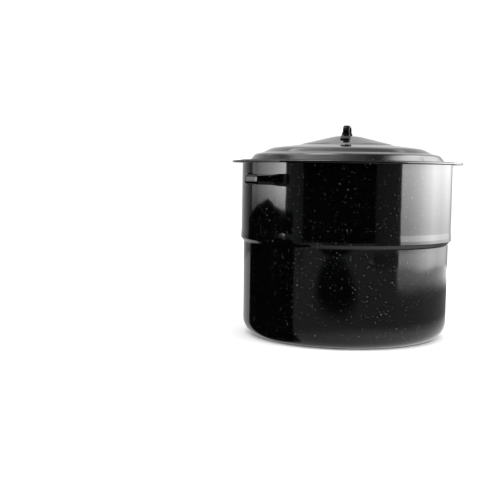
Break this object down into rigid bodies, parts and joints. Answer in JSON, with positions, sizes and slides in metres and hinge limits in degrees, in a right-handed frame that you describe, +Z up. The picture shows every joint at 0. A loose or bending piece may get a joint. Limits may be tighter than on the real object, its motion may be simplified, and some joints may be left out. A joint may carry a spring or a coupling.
{
  "type": "water bath canner",
  "caption": "Deep round enamelled steel pot with a beaded wall, strap side handles, a stepped domed lid with a bridge handle, and a folding-handled wire jar rack inside.",
  "frame": {"origin": "centre of the pot's base, on the surface it stands on", "axes": "+Z up, +X through the right-hand side handle, +Y completes the right-handed frame"},
  "size_m": [0.417, 0.404, 0.3692],
  "materials": {
    "enamel": "glossy porcelain enamel, black with fine white flecks",
    "wire": "bright plated wire"
  },
  "bodies": {
    "pot": {"pot_body": "enamel", "side_handle_left": "enamel", "side_handle_right": "enamel"},
    "rack": {"rack_top_hoop": "wire", "rack_well_ring": "wire", "rack_base_ring_outer": "wire", "rack_base_ring_middle": "wire", "rack_base_ring_inner": "wire", "rack_divider_1": "wire", "rack_divider_2": "wire", "rack_divider_3": "wire", "rack_divider_4": "wire", "rack_divider_5": "wire", "rack_divider_6": "wire", "rack_divider_7": "wire", "rack_divider_8": "wire", "rack_centre_wire_front": "wire", "rack_centre_wire_back": "wire"},
    "bail_left": {"rack_bail_left": "wire"},
    "bail_right": {"rack_bail_right": "wire"},
    "lid": {"lid_cover": "enamel", "lid_handle": "enamel"}
  },
  "joints": [
    {"name": "rack_lift", "type": "slide", "parent": "pot", "child": "rack", "axis": [0, 0, 1], "range_m": [0, 0.36]},
    {"name": "lid_lift", "type": "slide", "parent": "rack", "child": "lid", "axis": [0, 0, 1], "range_m": [0, 0.25]},
    {"name": "bail_left_fold", "type": "hinge", "parent": "rack", "child": "bail_left", "pos_m": [-0.16388, 0, 0.076], "axis": [0, 1, 0], "range_deg": [0, 90]},
    {"name": "bail_right_fold", "type": "hinge", "parent": "rack", "child": "bail_right", "pos_m": [0.16388, 0, 0.076], "axis": [0, -1, 0], "range_deg": [0, 90]}
  ]
}
